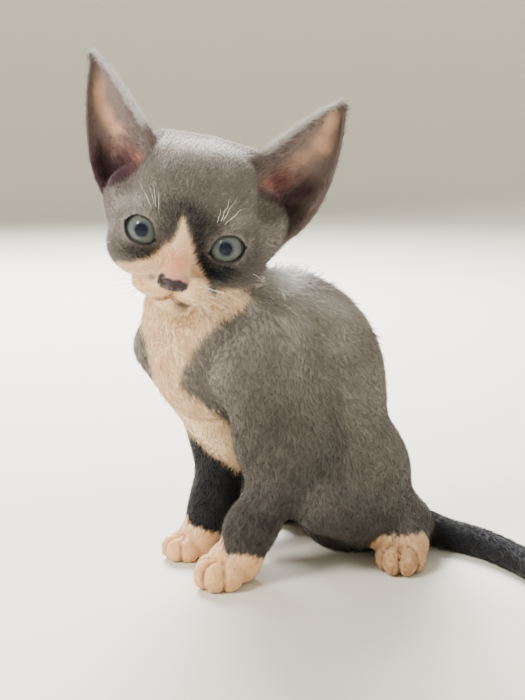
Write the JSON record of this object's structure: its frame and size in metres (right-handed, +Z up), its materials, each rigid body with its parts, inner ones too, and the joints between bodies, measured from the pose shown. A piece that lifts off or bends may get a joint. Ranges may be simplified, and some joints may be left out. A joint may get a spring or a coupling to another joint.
{
  "type": "sitting kitten",
  "caption": "Life-size still model of a sitting Devon Rex kitten with large ears, its head turned to the side and its tail laid out along the floor",
  "frame": {"origin": "on the floor under the middle of the whole model", "axes": "+Z up; the body faces -Y; the kitten's left side, where the tail lies, is towards +X; the head is turned towards its left"},
  "size_m": [0.1792, 0.1431, 0.1996],
  "materials": {
    "coat_grey": "short crimped fur, matte",
    "coat_white": "short crimped white fur, matte",
    "ear_skin": "thin bare skin, satin",
    "nose_leather": "moist skin, satin",
    "eye": "polished, opaque"
  },
  "bodies": {
    "root": {"nose": "nose_leather", "head": "coat_grey", "paw_fore_left": "coat_white", "paw_fore_right": "coat_white", "paw_hind_left": "coat_white", "paw_hind_right": "coat_white", "foreleg_lower_left": "coat_grey", "foreleg_lower_right": "coat_grey", "tail_base": "coat_grey", "tail_middle": "coat_grey", "tail_tip": "coat_grey", "neck": "coat_grey", "foreleg_upper_left": "coat_grey", "foreleg_upper_right": "coat_grey", "thigh_left": "coat_grey", "thigh_right": "coat_grey", "chest": "coat_grey", "belly": "coat_grey", "ear_left": "ear_skin", "eye_left": "eye", "ear_right": "ear_skin", "eye_right": "eye"}
  },
  "joints": []
}
